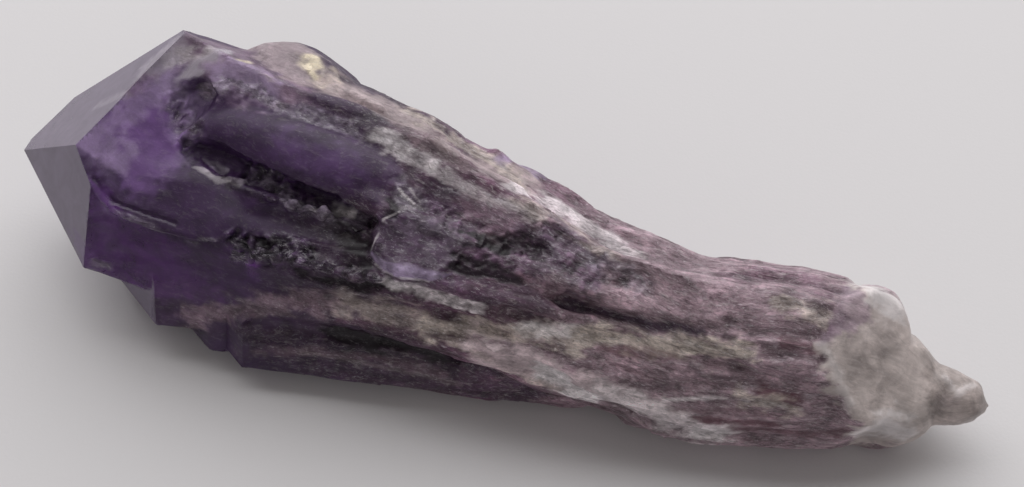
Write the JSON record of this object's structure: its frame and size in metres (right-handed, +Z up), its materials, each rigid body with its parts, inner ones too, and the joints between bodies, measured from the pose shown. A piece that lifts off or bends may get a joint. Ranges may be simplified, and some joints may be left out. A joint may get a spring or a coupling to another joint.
{
  "type": "amethyst scepter crystal",
  "caption": "Amethyst scepter crystal lying on its side: a pointed violet head, a fibrous streaked body that narrows, and a rounded white quartz foot with a short stub.",
  "frame": {"origin": "on the surface that the crystal rests on, below the middle of its bounding box", "axes": "-X towards the head's tip, +X towards the foot's stub, +Z up, +Y towards the side with the head's rounded shoulder"},
  "size_m": [0.1464, 0.0434, 0.034],
  "materials": {
    "amethyst": "glassy, partly clear violet quartz that turns milky at the foot"
  },
  "bodies": {
    "root": {"amethyst_scepter": "amethyst"}
  },
  "joints": []
}
